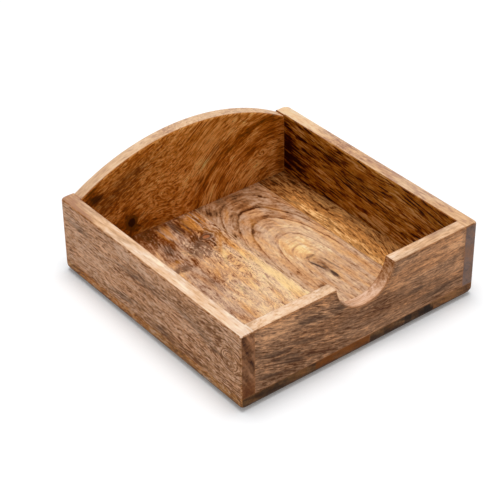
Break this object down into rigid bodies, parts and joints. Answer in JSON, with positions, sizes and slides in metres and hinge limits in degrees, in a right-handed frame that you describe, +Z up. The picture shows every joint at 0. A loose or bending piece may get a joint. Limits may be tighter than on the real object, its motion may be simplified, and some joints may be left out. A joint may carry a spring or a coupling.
{
  "type": "napkin holder",
  "caption": "Square solid-wood napkin tray with butt-jointed walls, an arched back wall, a round thumb notch in the front wall and an edge-glued base.",
  "frame": {"origin": "middle of the underside of the base board", "axes": "+X to the right along the front wall, +Y towards the arched back wall, +Z up"},
  "size_m": [0.15, 0.15, 0.062],
  "materials": {
    "base_left": "satin oiled mango wood, burled figure with a small knot",
    "base_middle": "satin oiled mango wood, nested cathedral rings and a dark crack",
    "base_right": "satin oiled mango wood, straight wavy grain",
    "wall_left": "satin oiled mango wood, grey-brown with short dark dashes",
    "wall_right": "satin oiled mango wood, dark streaks along the length",
    "wall_front": "satin oiled mango wood, mottled brown with dark streaks",
    "wall_back": "satin oiled mango wood, orange-brown flame figure",
    "dowel": "plain turned beech",
    "pin": "bright drawn wire"
  },
  "bodies": {
    "root": {"base_stave_left": "base_left", "base_stave_middle": "base_middle", "base_stave_right": "base_right", "left_wall": "wall_left", "right_wall": "wall_right", "front_wall": "wall_front", "back_wall": "wall_back", "dowels_front_left": "dowel", "dowels_front_right": "dowel", "dowels_back_left": "dowel", "dowels_back_right": "dowel", "pins_left_wall": "pin", "pins_right_wall": "pin", "pins_front_wall": "pin", "pins_back_wall": "pin"}
  },
  "joints": []
}
